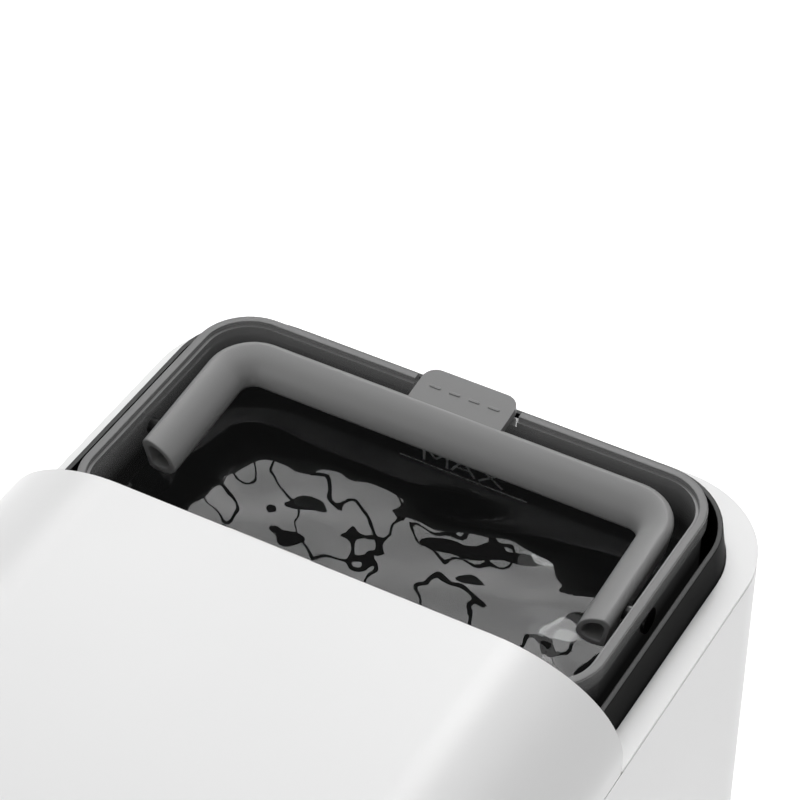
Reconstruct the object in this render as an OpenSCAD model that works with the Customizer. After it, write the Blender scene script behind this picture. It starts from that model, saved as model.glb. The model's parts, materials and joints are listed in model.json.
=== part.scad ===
// Slim compressor dehumidifier with a lift-out water tank at its top rear.
// Origin: middle of the footprint, on the floor. +Z up, +Y to the rear, +X to the right seen from the front.

/* [Housing] */
// Width of the body
body_w = 200; // [196:1:204]
// Depth of the body
body_d = 340; // [336:1:344]
// Height of the flat ledge round the tank
ledge_z = 398; // [396:1:400]
// Rise of the hood above the ledge
hood_rise = 32; // [30:1:34]
// Depth of the rear part that the hood leaves open
bay_d = 115.4; // [115:0.1:116]
// Plan radius of the rear corners
rear_r = 34.5; // [33:0.5:36]
// Plan radius of the front corners, and width of the hood's rounded shoulders
front_r = 40; // [38:1:42]
// Height of the hood's rounded shoulders
shoulder_h = 27.6; // [26:0.2:29]
// Wall of the white mouldings
wall = 2.6; // [2.4:0.1:2.8]

/* [Tank] */
// Width over the tank's rim
tank_w = 169.5; // [168:0.5:170]
// Depth over the tank's rim
tank_d = 96.7; // [96:0.1:97]
// Plan radius of the rim's corners
tank_r = 17.5; // [16:0.5:19]
// Width of the rim's top
rim_w = 3; // [2.6:0.1:3.2]
// Height of the rim's top above the ledge
rim_rise = 17.3; // [17:0.1:18]
// Wall of the tank
tank_wall = 2.4; // [2.2:0.1:2.6]
// Height of the well's collar above the ledge
collar_rise = 11.4; // [11:0.1:12.5]
// Wall of the well and its collar
well_wall = 2.6; // [2.6:0.1:3.2]

/* [Handle] */
// Width of the handle's section
grip_w = 11.2; // [10.5:0.1:11.8]
// Height of the handle's section
grip_h = 12.7; // [12:0.1:13]
// Slope of the handle from its pivots up to its tab
grip_tilt = 5; // [4:0.5:6]
// Width of the finger tab
tab_w = 31.4; // [31:0.1:34]
// Radius of the pivot pins
pivot_r = 2.5; // [2.2:0.1:2.8]

/* [Cooling] */
// Fins in each coil
fin_count = 24; // [12:1:30]
// Tube runs in each coil, an even number
run_count = 6; // [4:2:6]
// Blades of the fan
blade_count = 7; // [5:1:9]
// Radius of the fan's blades
fan_r = 63; // [58:1:64]
// Radius of the compressor's can
can_r = 50; // [44:1:50]

/* [Hidden] */
$fn = 64;

half_w = body_w / 2;
half_d = body_d / 2;
top_z = ledge_z + hood_rise;
// The lower shells stop at seam_z. The top cover's edge starts a dark line's width above it.
cover_edge = 0.9;
seam_gap = 0.5;
cover_z = ledge_z - cover_edge;
seam_z = cover_z - seam_gap;
foot_h = 8;
plate_top = foot_h + 5;
shell_z = foot_h + 2;
// The front panel meets the side shell here.
split_y = front_r - half_d + 2;
split_gap = 0.4;
// Rear face of the hood
hood_y = half_d - bay_d;

// Well and tank
collar_w = body_w - 17.6;
collar_y = half_d - 10.6;
collar_r = 27.4;
collar_z = ledge_z + collar_rise;
well_y = hood_y - 4.2;
well_z = 187;
well_top = 394;
tank_y = half_d - 17.5 - tank_d / 2;
tank_z = well_z + well_wall;
rim_z = ledge_z + rim_rise;
skirt_z = rim_z - 5.4;
tank_inset = rim_w / 2 - 0.25;
cavity_inset = tank_inset + tank_wall;
tank_front = tank_y - tank_d / 2;

// Handle, in a frame with its origin on the pivot axis
pivot_y = half_d - 68;
pivot_z = ledge_z + 7.6;
grip_out_x = 77.5;
grip_in_x = grip_out_x - grip_w;
grip_out_y = half_d - 25.9 - pivot_y;
grip_end_y = -10.5;
grip_in_r = 4;
tab_end_y = half_d - 13.8 - pivot_y;
tab_t = 2.8;
notch_w = tab_w + 3.8;

// Float
float_x = -30;
float_y = tank_front + 7.7;
float_z = ledge_z - 5;
inlet_x = 32;
spout_z = ledge_z + 11;

// Rear intake
intake_w = 124;
intake_z0 = 52;
intake_z1 = 180;

// Coils and fan
coil_w = 144;
coil_t = 22;
coil_z0 = 40;
coil_z1 = 170;
evaporator_y = 133;
condenser_y = 103;
tube_r = 3.5;
run_z0 = 50;
run_step = 22;
run_top = run_z0 + (run_count - 1) * run_step;
coil_end = coil_w / 2 + 4;
fan_z = 105;
fan_y0 = 70;
shroud_y = 80;
bracket_y = 57.8;
shaft_r = 2.5;
run_clear = 0.05;
motor_r = 22;

// Compressor
can_x = -18;
can_y = -58;
can_z0 = 36;
can_z1 = 186;
accumulator_x = 52;
mount_angles = [90, 210, 330];
mount_r = 60;

// Front
outlet_w = 112;
outlet_z0 = 298;
outlet_z1 = 346;
louver_y = 2.7 - half_d;
louver_z = outlet_z0 + 8;
panel_w = 112;
panel_h = 26;
panel_z = 371;
button_r = 7;
button_xs = [-46, -27, 27, 46];
lens_w = 30;
lens_h = 14;

// Screws: each is [x, y] under the base, or up into the top cover
shell_screws = [[-91, -90], [91, -90], [-91, 60], [91, 60]];
panel_screws = [[-50, -161], [50, -161]];
cover_side_screws = [[-91, -60], [91, -60]];
cover_rear_screws = [[-60, well_y - 5], [60, well_y - 5]];
boss_r = 7.2;
drain_x = 40;
drain_z = 32;
socket_x = -40;
socket_z = 31;
pump_x = 60;
pump_y = 44;

// ---- shared shapes ----

// A rectangle with round corners, centred
module rounded_rect(w, d, r) {
    square([w - 2 * r, d], center = true);
    square([w, d - 2 * r], center = true);
    for (sx = [-1, 1], sy = [-1, 1])
        translate([sx * (w / 2 - r), sy * (d / 2 - r)]) circle(r);
}

// A rectangle from y0 to y1 with its own radius at each end
module tapered_rect(w, y0, y1, r0, r1) {
    translate([-w / 2, y0 + r0]) square([w, y1 - y0 - r0 - r1]);
    translate([r0 - w / 2, y0]) square([w - 2 * r0, r0 + 1]);
    translate([r1 - w / 2, y1 - r1 - 1]) square([w - 2 * r1, r1 + 1]);
    for (s = [-1, 1]) {
        translate([s * (w / 2 - r0), y0 + r0]) circle(r0);
        translate([s * (w / 2 - r1), y1 - r1]) circle(r1);
    }
}

// The body's plan, drawn in by inset
module body_plan(inset = 0) {
    tapered_rect(body_w - 2 * inset, inset - half_d, half_d - inset, front_r - inset, rear_r - inset);
}

// A box from its low corner to its high corner
module box(low, high) {
    translate(low) cube(high - low);
}

// A cylinder along X or Y, from a start point
module rod_x(start, length, r) {
    translate(start) rotate([0, 90, 0]) cylinder(h = length, r = r);
}

module rod_y(start, length, r) {
    translate(start) rotate([-90, 0, 0]) cylinder(h = length, r = r);
}

// A cylinder between two points
module rod(a, b, r) {
    d = b - a;
    length = norm(d);
    translate(a)
        rotate([0, acos(d[2] / length), atan2(d[1], d[0])])
            cylinder(h = length, r = r);
}

// A pipe along points, with ball bends
module pipe(points, r) {
    for (i = [0 : len(points) - 2]) rod(points[i], points[i + 1], r);
    for (i = [1 : len(points) - 2]) translate(points[i]) sphere(r);
}

// A screw pointing up, with its head's underside at the origin
module screw(length, r = 1.5, head_r = 3.8) {
    cylinder(h = length, r = r);
    translate([0, 0, -2.4]) difference() {
        cylinder(h = 2.4, r = head_r);
        translate([-0.6, -2.6, -0.01]) cube([1.2, 5.2, 1.2]);
        translate([-2.6, -0.6, -0.01]) cube([5.2, 1.2, 1.2]);
    }
}

// ---- base ----

module base_plate() color("#2c2d2f") difference() {
    union() {
        translate([0, 0, foot_h]) linear_extrude(plate_top - foot_h) body_plan(wall + 0.4);
        for (a = mount_angles)
            translate([can_x + mount_r * cos(a), can_y + mount_r * sin(a), plate_top - 1])
                cylinder(h = 26, r = 3);
    }
    for (sx = [-1, 1], sy = [-1, 1])
        translate([sx * 72, sy * 130, foot_h - 1]) cylinder(h = 5, r = 4.85);
    for (p = concat(shell_screws, panel_screws)) {
        translate([p[0], p[1], foot_h - 1]) cylinder(h = 10, r = 2.2);
        translate([p[0], p[1], foot_h - 1]) cylinder(h = 3.6, r = 4.4);
    }
    for (i = [-4 : 4]) translate([i * 9 - 2, -128, foot_h - 1]) cube([4, 30, 8]);
}

module rubber_feet() color("#1c1c1d")
    for (sx = [-1, 1], sy = [-1, 1]) translate([sx * 72, sy * 130, 0]) {
        cylinder(h = 1.5, r1 = 11.2, r2 = 12.5);
        translate([0, 0, 1.5]) cylinder(h = foot_h - 1.5, r = 12.5);
        translate([0, 0, foot_h - 0.5]) cylinder(h = 4, r = 4.8);
    }

// ---- white mouldings ----

module screw_boss(p, z0, z1) {
    translate([p[0], p[1], z0]) difference() {
        cylinder(h = z1 - z0, r = boss_r);
        translate([0, 0, -1]) cylinder(h = z1 - z0, r = 1.6);
    }
}

// Two lugs that take the top cover's side screws
module shell_lugs() {
    for (p = cover_side_screws) difference() {
        translate([p[0], p[1], cover_z - 9]) cylinder(h = 6, r = boss_r);
        translate([p[0], p[1], cover_z - 10]) cylinder(h = 8, r = 2.2);
    }
}

module side_shell() color("#ebebeb") difference() {
    union() {
        difference() {
            translate([0, 0, shell_z]) linear_extrude(seam_z - shell_z) body_plan();
            translate([0, 0, shell_z - 1]) linear_extrude(seam_z) body_plan(wall);
        }
        intersection() {
            union() {
                for (p = shell_screws) screw_boss(p, plate_top, plate_top + 15);
                shell_lugs();
            }
            linear_extrude(seam_z) body_plan(wall / 2);
        }
    }
    box([-body_w, -body_d, 0], [body_w, split_y + split_gap, ledge_z]);
    translate([0, half_d + 1, (intake_z0 + intake_z1) / 2]) rotate([90, 0, 0])
        linear_extrude(wall + 3) rounded_rect(intake_w, intake_z1 - intake_z0, 6);
    translate([socket_x, half_d + 1, socket_z]) rotate([90, 0, 0])
        linear_extrude(wall + 3) rounded_rect(31, 23, 3);
    rod_y([drain_x, half_d - 10, drain_z], 20, 7.1);
}

module front_panel() color("#ebebeb") difference() {
    union() {
        difference() {
            translate([0, 0, shell_z]) linear_extrude(seam_z - shell_z) body_plan();
            translate([0, 0, shell_z - 1]) linear_extrude(seam_z) body_plan(wall);
            box([-body_w, split_y, 0], [body_w, body_d, ledge_z]);
        }
        // Tongues that run inside the side shell
        difference() {
            translate([0, 0, 40]) linear_extrude(330) body_plan(wall + 0.3);
            translate([0, 0, 39]) linear_extrude(332) body_plan(wall + 2);
            box([-body_w, split_y + 8, 0], [body_w, body_d, ledge_z]);
            box([-body_w, -body_d, 0], [body_w, split_y - 10, ledge_z]);
        }
        difference() {
            translate([0, 0, 40]) linear_extrude(330) body_plan(wall - 0.5);
            translate([0, 0, 39]) linear_extrude(332) body_plan(wall + 2);
            box([-body_w, split_y - 1, 0], [body_w, body_d, ledge_z]);
            box([-body_w, -body_d, 0], [body_w, split_y - 10, ledge_z]);
        }
        intersection() {
            for (p = panel_screws) screw_boss(p, plate_top, plate_top + 15);
            linear_extrude(seam_z) body_plan(wall / 2);
        }
    }
    translate([0, 10 - half_d, (outlet_z0 + outlet_z1) / 2]) rotate([90, 0, 0])
        linear_extrude(20) rounded_rect(outlet_w, outlet_z1 - outlet_z0, 5);
    translate([0, 10 - half_d, panel_z]) rotate([90, 0, 0])
        linear_extrude(20) rounded_rect(panel_w, panel_h, panel_h / 2 - 0.01);
}

// The hood's solid shape, drawn in by inset
module hood_form(inset) {
    r = front_r - inset;
    $fn = 48;
    squash = (shoulder_h - inset) / r;
    cx = half_w - front_r;
    cz = top_z - shoulder_h;
    hull() {
        for (s = [-1, 1]) {
            translate([s * cx, front_r - half_d, cz]) scale([1, 1, squash]) sphere(r);
            translate([s * cx, hood_y - inset, cz]) rotate([90, 0, 0]) scale([1, squash, 1])
                cylinder(h = 1, r = r);
            translate([s * cx, front_r - half_d, cover_z - 30]) cylinder(h = 1, r = r);
            translate([s * (half_w - inset) - 0.5, hood_y - inset - 1, cover_z - 30]) cube(1);
        }
    }
}

module top_cover() color("#ebebeb") difference() {
    union() {
        // Hood shell
        difference() {
            intersection() {
                hood_form(0);
                box([-half_w, -half_d, cover_z], [half_w, hood_y, top_z]);
            }
            hood_form(wall);
            box([wall - half_w, hood_y - 1 - wall, 0], [half_w - wall, hood_y - wall, cover_z + 2]);
        }
        // Ledge round the tank, with a step that drops inside the side shell
        translate([0, 0, cover_z]) linear_extrude(cover_edge) intersection() {
            body_plan();
            translate([-half_w, hood_y - wall]) square([body_w, bay_d + wall]);
        }
        translate([0, 0, cover_z - 2.6]) linear_extrude(2.6) intersection() {
            body_plan(wall + 0.4);
            translate([-half_w, hood_y - wall]) square([body_w, bay_d + wall]);
        }
        // Locating rib under the hood
        translate([0, 0, cover_z - 2.6]) linear_extrude(3.6) difference() {
            body_plan(wall + 0.4);
            body_plan(wall + 2.4);
            translate([-half_w, hood_y - 1]) square([body_w, bay_d]);
        }
        translate([0, 0, cover_z]) linear_extrude(3) difference() {
            body_plan(wall / 2);
            body_plan(wall + 2.4);
            translate([-half_w, hood_y - 1]) square([body_w, bay_d]);
        }
        for (p = cover_side_screws) intersection() {
            translate([p[0], p[1], cover_z - 2.6]) cylinder(h = 14, r = boss_r);
            box([wall + 0.4 - half_w, -half_d, 0], [half_w - wall - 0.4, half_d, top_z]);
        }
        for (p = cover_rear_screws) {
            translate([p[0], p[1], cover_z - 2.6]) cylinder(h = 14, r = 5);
            box([p[0] - 2, p[1], cover_z - 2.6], [p[0] + 2, hood_y - wall + 0.5, cover_z + 11.4]);
        }
    }
    // The collar comes up through this opening
    translate([0, 0, cover_z - 5]) linear_extrude(10)
        tapered_rect(collar_w + 0.8, hood_y, collar_y + 0.4, 0.5, collar_r + 0.4);
    for (p = concat(cover_side_screws, cover_rear_screws))
        translate([p[0], p[1], cover_z - 3]) cylinder(h = 12, r = 1.6);
    rod_y([inlet_x, hood_y - 6, spout_z], 10, 5.1);
}

// ---- well and tank ----

module tank_well() color("#161616") difference() {
    union() {
        translate([0, 0, well_z]) linear_extrude(well_top - well_z)
            tapered_rect(collar_w, well_y, collar_y, 8, collar_r);
        translate([0, 0, well_top - 1]) linear_extrude(collar_z - well_top + 1)
            tapered_rect(collar_w, hood_y + 0.4, collar_y, 0.5, collar_r);
        // Lugs screwed up into the top cover
        for (p = cover_rear_screws)
            box([p[0] - 6, p[1] - 6, cover_z - 6], [p[0] + 6, well_y + 1, cover_z - 3.2]);
    }
    translate([0, 0, well_z + well_wall]) linear_extrude(250)
        tapered_rect(collar_w - 2 * well_wall, well_y + well_wall, collar_y - well_wall, 5,
                     collar_r - well_wall);
    box([well_wall - collar_w / 2, hood_y - 1, well_top],
        [collar_w / 2 - well_wall, hood_y + 6, rim_z]);
    for (p = cover_rear_screws) translate([p[0], p[1], cover_z - 8]) cylinder(h = 8, r = 2.2);
}

// The tank's plan, drawn in from the rim's outer edge
module tank_plan(inset) {
    translate([0, tank_y]) rounded_rect(tank_w - 2 * inset, tank_d - 2 * inset, tank_r - inset);
}

module water_tank() color("#3a3a3c", 0.6) difference() {
    union() {
        difference() {
            union() {
                translate([0, 0, tank_z]) linear_extrude(rim_z - 1 - tank_z) tank_plan(tank_inset);
                translate([0, 0, skirt_z]) linear_extrude(rim_z - skirt_z) tank_plan(0);
            }
            translate([0, 0, tank_z + 2.6]) linear_extrude(rim_z) tank_plan(cavity_inset);
            translate([0, 0, rim_z - 2.3]) linear_extrude(10) tank_plan(rim_w);
        }
        // Ears that hold the float's pin
        for (x = [float_x - 19, float_x + 16])
            box([x, tank_front + 3, float_z - 3.5], [x + 3, float_y + 3.5, float_z + 3.5]);
    }
    // Notch for the handle's tab
    box([-notch_w / 2, tank_y + 30, rim_z - 3.3], [notch_w / 2, half_d, rim_z + 5]);
    // Notch for the fill spout's stream
    box([inlet_x - 10, tank_front - 5, spout_z - 6], [inlet_x + 10, tank_front + 8, rim_z + 5]);
    rod_x([-100, pivot_y, pivot_z], 200, pivot_r);
    rod_x([float_x - 25, float_y, float_z], 50, 1.25);
}

// The handle's section: u runs out from its inner side, v up. skin hollows it.
module grip_section(skin = 0) {
    r = grip_h / 2;
    translate([r, r]) circle(r - skin);
    translate([r, skin]) square([grip_w - r - skin, grip_h - 2 * skin]);
}

// One half of the bail, from the middle of the bar to the arm's end
module half_bail() {
    bar_y = grip_out_y - grip_w;
    z = -grip_h / 2;
    cx = grip_in_x - grip_in_r;
    cy = bar_y - grip_in_r;
    translate([-0.01, bar_y, z]) rotate([90, 0, 90]) linear_extrude(cx + 0.01) grip_section();
    translate([cx, cy, z]) rotate_extrude(angle = 90) translate([grip_in_r, 0]) grip_section();
    difference() {
        translate([grip_in_x, cy, z]) rotate([90, 0, 0])
            linear_extrude(cy - grip_end_y) grip_section();
        translate([grip_in_x, 8, z]) rotate([90, 0, 0]) linear_extrude(30) grip_section(2.2);
    }
    // Boss round the pivot pin
    rod_x([grip_in_x + 2, 0, 0], grip_out_x - grip_in_x + 1.2, 4.6);
}

module tank_handle() color("#8a8a8a")
    translate([0, pivot_y, pivot_z]) rotate([grip_tilt, 0, 0]) difference() {
        union() {
            half_bail();
            mirror([1, 0, 0]) half_bail();
            translate([0, grip_out_y - 5, grip_h / 2 - tab_t]) linear_extrude(tab_t)
                tapered_rect(tab_w, 0, tab_end_y - grip_out_y + 5, 0.5, 5);
        }
        for (s = [-1, 1])
            rod_x([s > 0 ? grip_in_x + 4 : -grip_out_x - 5, 0, 0], grip_w + 1, pivot_r + run_clear);
    }

module handle_pins() color("#2b2b2b") for (s = [0, 1]) mirror([s, 0, 0]) {
    rod_x([grip_in_x + 5, pivot_y, pivot_z], tank_w / 2 - tank_inset - grip_in_x - 5, pivot_r);
    rod_x([tank_w / 2 - tank_inset, pivot_y, pivot_z], 1.1, 4);
}

module float_body() color("#e6e6e2") difference() {
    union() {
        box([float_x - 14, float_y + 6.5, float_z - 8], [float_x + 14, float_y + 21.5, float_z + 2]);
        for (x = [float_x - 15.5, float_x + 13]) {
            box([x, float_y, float_z - 2], [x + 2.5, float_y + 12, float_z + 2]);
            rod_x([x, float_y, float_z], 2.5, 2.6);
        }
    }
    rod_x([float_x - 25, float_y, float_z], 50, 1.3);
    translate([float_x, float_y + 12, float_z - 9]) cylinder(h = 4, r = 4.05);
}

module float_magnet() color("#55585c")
    translate([float_x, float_y + 12, float_z - 8]) cylinder(h = 3, r = 4);

module float_pin() color("#b9bcc0") rod_x([float_x - 19, float_y, float_z], 38, 1.25);

module reed_switch() color("#303438") {
    box([float_x - 12, well_y - 4.4, float_z - 8], [float_x + 12, well_y - 0.2, float_z]);
    for (x = [float_x - 9, float_x + 7])
        box([x, well_y - 3, float_z - 14], [x + 2, well_y - 2, float_z - 8]);
}

module fill_spout() color("#202224") difference() {
    union() {
        rod_y([inlet_x, pump_y, spout_z], hood_y + 0.4 - pump_y, 5);
        translate([inlet_x, pump_y, spout_z]) sphere(5);
        translate([inlet_x, pump_y, cover_z - 5]) cylinder(h = spout_z - cover_z + 5, r = 2.5);
    }
    rod_y([inlet_x, pump_y, spout_z], 20, 3);
    translate([inlet_x, pump_y, cover_z - 6]) cylinder(h = spout_z - cover_z + 6, r = 1.6);
}

// ---- air path ----

module intake_grille() color("#e4e4e4") {
    slot_step = 5.2;
    slots = 23;
    difference() {
        translate([0, half_d, (intake_z0 + intake_z1) / 2]) rotate([90, 0, 0])
            linear_extrude(wall) rounded_rect(intake_w - 0.8, intake_z1 - intake_z0 - 0.8, 5.6);
        for (i = [0 : slots - 1], x = [-55, -18, 19])
            translate([x, half_d - 5, intake_z0 + 5 + i * slot_step]) cube([36, 6, 3]);
    }
    for (x = [-36, 30])
        box([x, half_d - 17, intake_z1 - 1.8], [x + 6, half_d - wall, intake_z1 - 0.8]);
}

module filter_frame() color("#3f4246") difference() {
    box([-60, half_d - 8.6, intake_z0 + 2], [60, half_d - wall, intake_z1 - 2]);
    box([-55, half_d - 10, intake_z0 + 7], [55, half_d, intake_z1 - 7]);
}

module filter_mesh() color("#6b7077") {
    box([-55, half_d - 6, intake_z0 + 7], [55, half_d - 5.4, intake_z1 - 7]);
}

module drip_tray() color("#4b4f54") difference() {
    union() {
        box([-84, 86, 24], [84, 146, 36]);
        for (x = [-70, 70], y = [93, 139]) translate([x, y, plate_top]) cylinder(h = 12, r = 4);
    }
    box([-82, 88, 26], [82, 144, 37]);
    rod_y([pump_x, 80, 30], 10, 3);
    rod_y([drain_x, 140, drain_z], 10, 5.05);
}

module coil_fins(y) {
    for (i = [0 : fin_count - 1]) {
        x = -coil_w / 2 + i * coil_w / (fin_count - 1);
        difference() {
            box([x - 0.25, y - coil_t / 2, coil_z0], [x + 0.25, y + coil_t / 2, coil_z1]);
            for (k = [0 : run_count - 1]) rod_x([x - 1, y, run_z0 + k * run_step], 2, tube_r + 0.3);
        }
    }
}

// A serpentine tube in one plane, with both ends on the side that s names
module coil_tube(y, s) {
    for (k = [0 : run_count - 1])
        rod_x([-coil_end, y, run_z0 + k * run_step], 2 * coil_end, tube_r);
    for (k = [0 : run_count - 2]) {
        side = (k % 2 == 0 ? -1 : 1) * s;
        translate([side * coil_end, y, run_z0 + (k + 0.5) * run_step]) rotate([90, 0, 0])
            rotate([0, 0, side > 0 ? -90 : 90])
                rotate_extrude(angle = 180) translate([run_step / 2, 0]) circle(tube_r);
    }
}

module evaporator_fins() color("#b9bfc4") coil_fins(evaporator_y);
module condenser_fins() color("#a9aeb3") coil_fins(condenser_y);
module evaporator_tube() color("#b87333") coil_tube(evaporator_y, 1);
module condenser_tube() color("#b87333") coil_tube(condenser_y, -1);

// A plate at each end of the two coils, standing out from the shroud
module coil_frames() color("#9aa0a5") for (s = [-1, 1]) difference() {
    x = s * (coil_w / 2 + 1.5);
    box([x - 0.6, shroud_y + 2, 36.2], [x + 0.6, 146, coil_z1 + 2]);
    for (y = [condenser_y, evaporator_y], k = [0 : run_count - 1])
        rod_x([x - 2, y, run_z0 + k * run_step], 4, tube_r);
}

module fan_shroud() color("#2b2e31") {
    difference() {
        union() {
            box([-84, shroud_y, plate_top + 0.2], [84, shroud_y + 2, well_z - 1]);
            rod_y([0, fan_y0, fan_z], shroud_y - fan_y0 + 1, fan_r + 6);
        }
        rod_y([0, fan_y0 - 1, fan_z], 30, fan_r + 4);
        rod_y([pump_x, shroud_y - 1, 30], 4, 3.4);
    }
    for (sx = [-1, 1], sz = [-1, 1])
        rod_y([sx * 56, bracket_y + 4, fan_z + sz * 56], shroud_y - bracket_y - 3, 4);
}

module fan_impeller() color("#d7dadd") difference() {
    union() {
        rod_y([0, fan_y0, fan_z], 18, 19);
        for (i = [0 : blade_count - 1]) intersection() {
            translate([0, fan_y0 + 9, fan_z]) rotate([0, i * 360 / blade_count, 0])
                rotate([0, 0, 32]) translate([-16, -0.9, 12]) cube([32, 1.8, fan_r]);
            rod_y([0, fan_y0, fan_z], 18, fan_r);
        }
    }
    rod_y([0, fan_y0 - 1, fan_z], 16, shaft_r);
    rod_y([0, fan_y0 - 1, fan_z], 12, 13);
}

module fan_shaft() color("#c4c8cc") rod_y([0, 42, fan_z], fan_y0 + 15 - 42, shaft_r);

module fan_motor() color("#6f757b") difference() {
    union() {
        rod_y([0, 36, fan_z], 26, motor_r);
        rod_y([0, 61, fan_z], 5, 8);
    }
    rod_y([0, 41.5, fan_z], 30, shaft_r + run_clear);
}

module motor_bracket() color("#8d9398") {
    difference() {
        union() {
            rod_y([0, bracket_y - 1, fan_z], 6, motor_r + 5);
            for (a = [45 : 90 : 315]) translate([0, bracket_y, fan_z]) rotate([0, a, 0])
                box([motor_r + 2, 0, -4], [56 * sqrt(2), 4, 4]);
        }
        rod_y([0, 50, fan_z], 20, motor_r + run_clear);
    }
}

// Sloped roof that leads the air from the fan up to the outlet
module air_guide() color("#3a3e42") {
    rear_y = pump_y - 8;
    front_y = 52 - half_d;
    rear_z = well_z - 5;
    front_z = outlet_z1 + 1.4;
    inner_w = body_w - 2 * wall - 0.4;
    translate([-inner_w / 2, 0, 0]) rotate([90, 0, 90]) linear_extrude(inner_w)
        polygon([[rear_y, rear_z], [rear_y, rear_z + 3.6],
                 [front_y, front_z + 3.6], [front_y, front_z]]);
}

// ---- refrigerant circuit ----

module can_profile(inset) {
    intersection() {
        translate([0, (can_z0 + can_z1) / 2])
            rounded_rect(2 * (can_r - inset), can_z1 - can_z0 - 2 * inset, 30 - inset);
        translate([0, can_z0]) square([can_r, can_z1 - can_z0]);
    }
}

module compressor_can() color("#232527") translate([can_x, can_y, 0])
    rotate_extrude() difference() {
        can_profile(0);
        can_profile(3);
    }

module compressor_stator() color("#9a5a2c") translate([can_x, can_y, 100]) difference() {
    cylinder(h = 52, r = can_r - 3.2);
    translate([0, 0, -1]) cylinder(h = 60, r = 29);
}

module compressor_rotor() color("#a9adb1") translate([can_x, can_y, 0]) {
    translate([0, 0, 99]) cylinder(h = 54, r = 28.5);
    translate([0, 0, 62]) cylinder(h = 96, r = 7);
}

module compressor_block() color("#62676c") translate([can_x, can_y, 66]) difference() {
    cylinder(h = 24, r = can_r - 3.2);
    translate([0, 0, -1]) cylinder(h = 40, r = 7 + run_clear);
    for (a = [30 : 120 : 270]) translate([30 * cos(a), 30 * sin(a), -1]) cylinder(h = 40, r = 8);
}

module compressor_mount() color("#3c4043") difference() {
    translate([can_x, can_y, can_z0 - 3]) linear_extrude(3) {
        circle(34);
        for (a = mount_angles) rotate(a) {
            translate([0, -12]) square([mount_r, 24]);
            translate([mount_r, 0]) circle(12);
        }
    }
    for (a = mount_angles)
        translate([can_x + mount_r * cos(a), can_y + mount_r * sin(a), can_z0 - 5])
            cylinder(h = 8, r = 7);
}

module compressor_grommets() color("#1a1a1a") for (a = mount_angles)
    translate([can_x + mount_r * cos(a), can_y + mount_r * sin(a), 0]) difference() {
        union() {
            translate([0, 0, plate_top]) cylinder(h = can_z0 - 3 - plate_top, r = 10);
            translate([0, 0, can_z0 - 4]) cylinder(h = 4.2, r = 6.9);
        }
        translate([0, 0, plate_top - 1]) cylinder(h = 40, r = 3.1);
    }

module accumulator() color("#2b2d2f") translate([accumulator_x, can_y, 0]) {
    translate([0, 0, 92]) cylinder(h = 60, r = 14);
    for (z = [92, 152]) translate([0, 0, z]) sphere(14);
}

module suction_pipe() color("#b87333") {
    pipe([[coil_end, evaporator_y, run_top], [90, evaporator_y, run_top], [90, evaporator_y, 174],
          [90, can_y, 174], [accumulator_x, can_y, 174], [accumulator_x, can_y, 166]], 4);
    pipe([[accumulator_x, can_y, 78], [accumulator_x, can_y, 70], [can_x + can_r, can_y, 70]], 4);
}

module discharge_pipe() color("#b87333") pipe([
    [can_x - can_r, can_y, 140], [-90, can_y, 140], [-90, condenser_y, 140],
    [-90, condenser_y, run_top], [-coil_end, condenser_y, run_top]], 3);

module filter_drier() color("#b87333") {
    rod_y([-90, 26, run_z0], 30, 6);
    pipe([[-90, 55, run_z0], [-90, condenser_y, run_z0], [-coil_end, condenser_y, run_z0]], 2.4);
}

module capillary_tube() color("#c07a3a") pipe([
    [-90, 26, run_z0], [-90, 22, run_z0], [-90, 22, 31], [88, 22, 31], [88, 150, 31],
    [88, 150, run_z0], [88, evaporator_y, run_z0], [coil_end, evaporator_y, run_z0]], 1.2);

// ---- water path ----

module condensate_pump() color("#d8dadc") {
    box([pump_x - 16, pump_y - 10, plate_top + 0.2], [pump_x + 12, pump_y + 10, 50]);
    translate([pump_x, pump_y, 50]) cylinder(h = 8, r = 2.5);
    rod_y([pump_x, pump_y + 9, 30], 36, 3);
}

module pump_hose() color("#dfe3e6") difference() {
    route = [[pump_x, pump_y, 50.2], [pump_x, pump_y, 170], [inlet_x, pump_y, 215],
             [inlet_x, pump_y, cover_z + 3]];
    bore = [[pump_x, pump_y, 49], [pump_x, pump_y, 170], [inlet_x, pump_y, 215],
            [inlet_x, pump_y, cover_z + 5]];
    pipe(route, 4);
    pipe(bore, 2.6);
}

module drain_socket() color("#26282a") difference() {
    union() {
        rod_y([drain_x, 146.2, drain_z], half_d - 146.2, 7);
        rod_y([drain_x, 143.5, drain_z], 3, 5);
    }
    rod_y([drain_x, 143, drain_z], 40, 3);
    rod_y([drain_x, half_d - 18, drain_z], 20, 5);
}

// ---- electrics ----

// Appliance inlet with three blades, its mouth flush with the rear face
module power_inlet() color("#1b1c1e") difference() {
    union() {
        translate([socket_x, half_d, socket_z]) rotate([90, 0, 0]) linear_extrude(2)
            rounded_rect(30.4, 22.4, 2.8);
        box([socket_x - 13.7, 148, socket_z - 10], [socket_x + 13.7, half_d - 1, socket_z + 10]);
    }
    difference() {
        translate([socket_x, half_d + 1, socket_z]) rotate([90, 0, 0]) linear_extrude(16)
            rounded_rect(24.5, 16.5, 3);
        for (p = [[-7, -4], [0, 0], [7, -4]])
            translate([socket_x + p[0] - 1, 154, socket_z + p[1]]) cube([2, half_d - 157, 4]);
    }
}

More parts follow.
